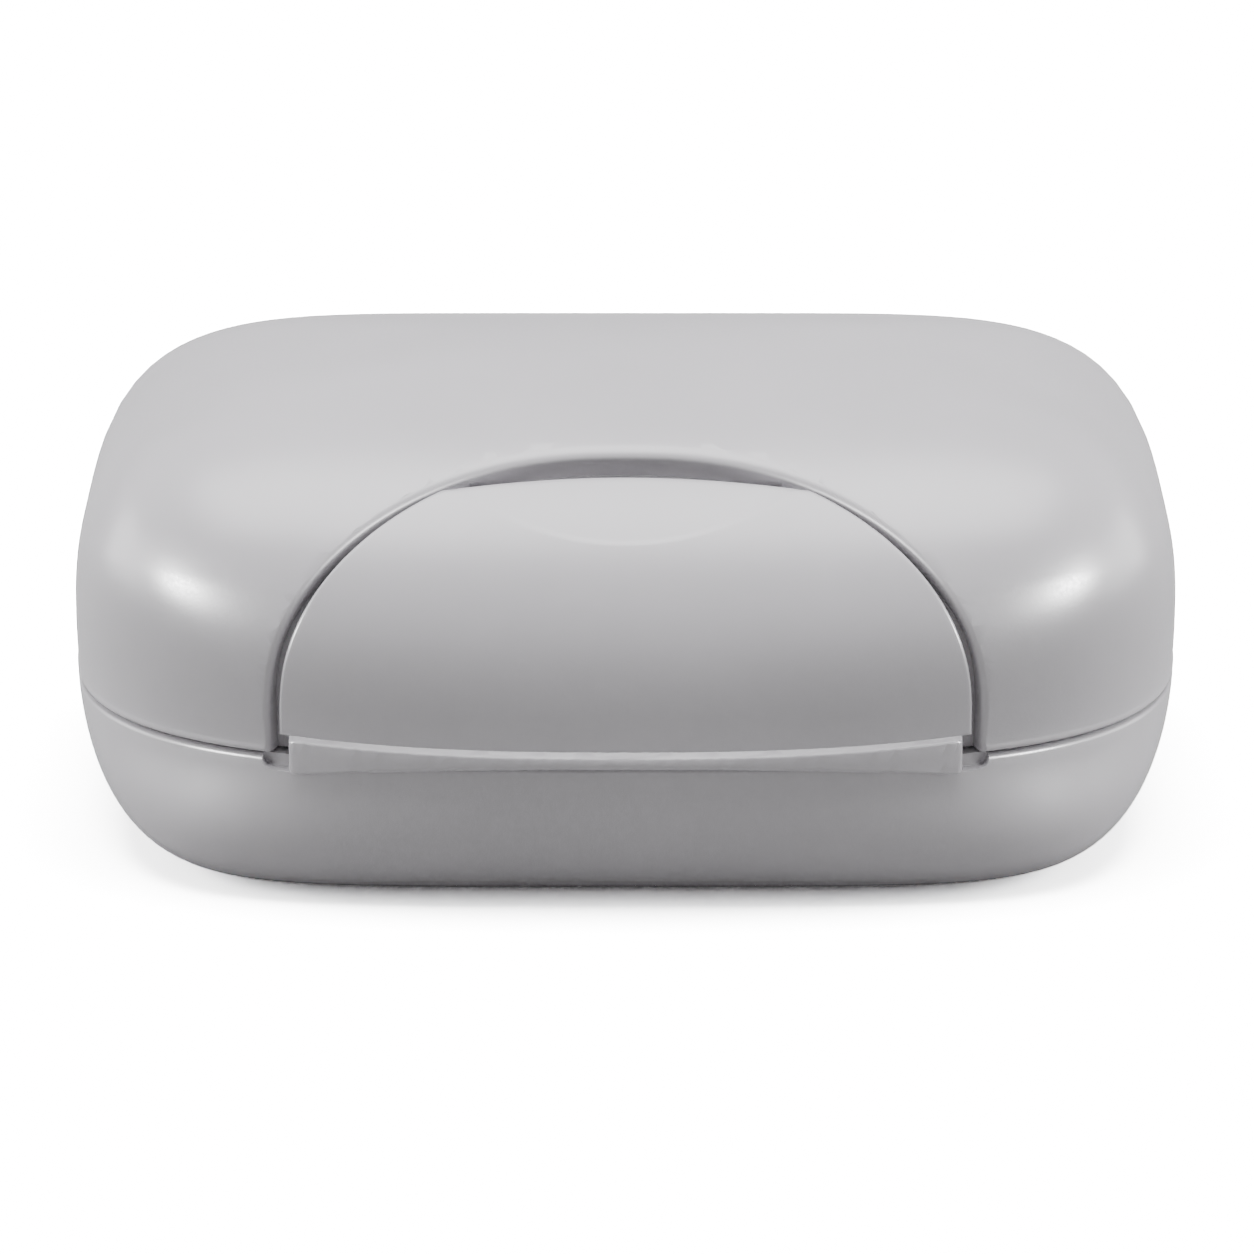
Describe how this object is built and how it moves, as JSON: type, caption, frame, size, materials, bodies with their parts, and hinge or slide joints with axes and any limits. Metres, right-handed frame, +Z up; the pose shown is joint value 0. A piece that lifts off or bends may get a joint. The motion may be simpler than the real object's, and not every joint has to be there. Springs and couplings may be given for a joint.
{
  "type": "travel soap box",
  "caption": "Closed plastic travel soap box with a domed hinged lid, half-moon front latch flap and lift-out drain tray.",
  "frame": {"origin": "centre of the flat bottom, at the table", "axes": "+X along the width, +Y from the latch towards the rear hinge, +Z up; the front with the latch faces -Y"},
  "size_m": [0.115, 0.0917, 0.0484],
  "materials": {
    "shell_plastic": "fine satin texture",
    "tray_plastic": "satin",
    "seal_rubber": "soft matt",
    "pin_steel": "drawn wire"
  },
  "bodies": {
    "base": {"base_shell": "shell_plastic", "hinge_pin_left": "pin_steel", "hinge_pin_right": "pin_steel"},
    "lid": {"lid_shell": "shell_plastic", "latch_pin": "pin_steel", "lid_gasket": "seal_rubber"},
    "flap": {"latch_flap": "shell_plastic"},
    "tray": {"drain_tray": "tray_plastic"}
  },
  "joints": [
    {"name": "lid_hinge", "type": "hinge", "parent": "base", "child": "lid", "pos_m": [0, 0.0456, 0.016], "axis": [-1, 0, 0], "range_deg": [0, 110]},
    {"name": "flap_hinge", "type": "hinge", "parent": "lid", "child": "flap", "pos_m": [0, -0.02905, 0.0393], "axis": [-1, 0, 0], "range_deg": [0, 45]},
    {"name": "tray_lift", "type": "slide", "parent": "base", "child": "tray", "axis": [0, 0, 1], "range_m": [0, 0.016]}
  ]
}
